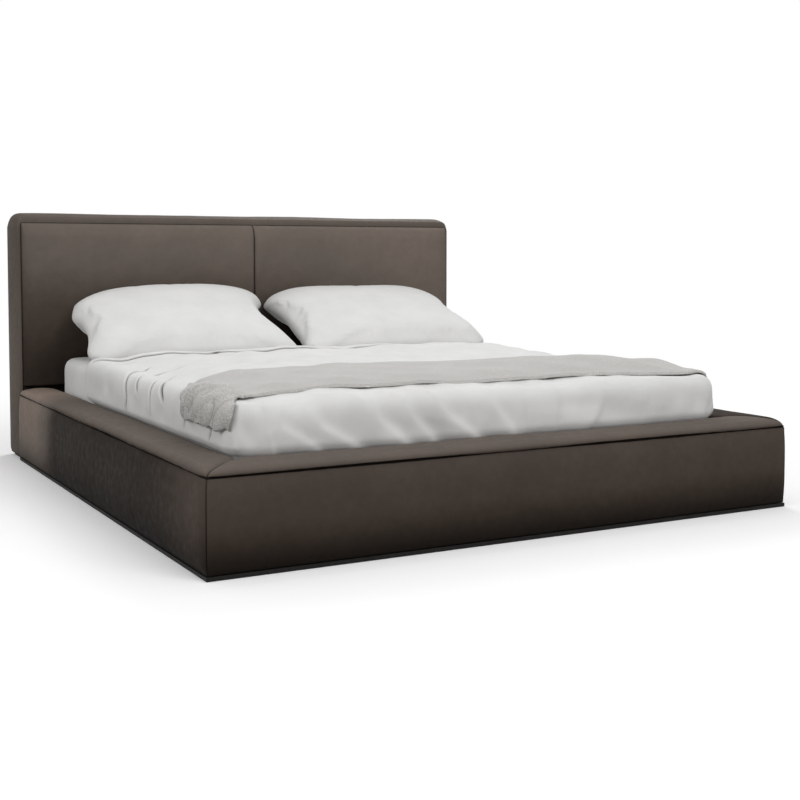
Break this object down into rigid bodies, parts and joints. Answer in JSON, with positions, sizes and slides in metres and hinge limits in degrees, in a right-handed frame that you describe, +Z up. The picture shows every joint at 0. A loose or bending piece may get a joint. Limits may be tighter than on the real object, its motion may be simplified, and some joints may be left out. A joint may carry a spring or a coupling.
{
  "type": "upholstered bed",
  "caption": "Low upholstered bed with a padded headboard, wide padded rails round a slatted base, mattress, duvet, knitted throw and leaning pillows.",
  "frame": {"origin": "on the floor, at the middle of the bed's length and width", "axes": "+Z up, +Y towards the headboard, +X across the bed to the right as seen from the foot"},
  "size_m": [2, 2.332, 0.985],
  "materials": {
    "leather": "matt dark taupe leather, faintly mottled",
    "back_fabric": "dark woven backing cloth",
    "plinth_black": "matt black base strip",
    "pine": "planed softwood",
    "zinc_steel": "zinc-plated",
    "glide_plastic": "matt",
    "mattress_ticking": "knitted ticking",
    "sheet_cotton": "plain-woven cotton",
    "duvet_cotton": "plain-woven cotton",
    "throw_wool": "light grey knit",
    "pillow_cotton": "plain-woven cotton"
  },
  "bodies": {
    "bed_frame": {"beam_bracket_foot": "zinc_steel", "beam_bracket_head": "zinc_steel", "center_beam": "pine", "center_leg_1": "pine", "center_leg_2": "pine", "center_leg_glide_1": "glide_plastic", "center_leg_glide_2": "glide_plastic", "corner_bolt_foot_left_across": "zinc_steel", "corner_bolt_foot_left_side": "zinc_steel", "corner_bolt_foot_right_across": "zinc_steel", "corner_bolt_foot_right_side": "zinc_steel", "corner_bolt_head_left_across": "zinc_steel", "corner_bolt_head_left_side": "zinc_steel", "corner_bolt_head_right_across": "zinc_steel", "corner_bolt_head_right_side": "zinc_steel", "corner_bracket_foot_left": "zinc_steel", "corner_bracket_foot_right": "zinc_steel", "corner_bracket_head_left": "zinc_steel", "corner_bracket_head_right": "zinc_steel", "foot_rail_core": "pine", "foot_rail_cover": "leather", "foot_rail_plinth": "plinth_black", "headboard_back_cover": "back_fabric", "headboard_border": "leather", "headboard_bottom_board": "pine", "headboard_front_board": "pine", "headboard_lower_cover": "leather", "headboard_pad_left": "leather", "headboard_pad_right": "leather", "headboard_plinth": "plinth_black", "headboard_side_board_left": "pine", "headboard_side_board_right": "pine", "headboard_top_board": "pine", "ledger_left": "pine", "ledger_right": "pine", "side_rail_left_core": "pine", "side_rail_left_cover": "leather", "side_rail_left_plinth": "plinth_black", "side_rail_right_core": "pine", "side_rail_right_cover": "leather", "side_rail_right_plinth": "plinth_black", "slat_01": "pine", "slat_02": "pine", "slat_03": "pine", "slat_04": "pine", "slat_05": "pine", "slat_06": "pine", "slat_07": "pine", "slat_08": "pine", "slat_09": "pine", "slat_10": "pine", "slat_11": "pine", "slat_12": "pine", "slat_13": "pine"},
    "mattress": {"mattress": "mattress_ticking", "fitted_sheet": "sheet_cotton"},
    "duvet": {"duvet": "duvet_cotton"},
    "throw": {"throw": "throw_wool"},
    "pillow_left": {"pillow_left": "pillow_cotton"},
    "pillow_right": {"pillow_right": "pillow_cotton"}
  },
  "joints": [
    {"name": "mattress_lift", "type": "slide", "parent": "bed_frame", "child": "mattress", "axis": [0, 0, 1], "range_m": [0, 0.85]},
    {"name": "duvet_lift", "type": "slide", "parent": "mattress", "child": "duvet", "axis": [0, 0, 1], "range_m": [0, 0.3]},
    {"name": "throw_lift", "type": "slide", "parent": "duvet", "child": "throw", "axis": [-0.4472, 0, 0.8944], "range_m": [0, 0.25]},
    {"name": "pillow_left_lift", "type": "slide", "parent": "mattress", "child": "pillow_left", "axis": [0, 0, 1], "range_m": [0, 0.6]},
    {"name": "pillow_right_lift", "type": "slide", "parent": "mattress", "child": "pillow_right", "axis": [0, 0, 1], "range_m": [0, 0.6]}
  ]
}
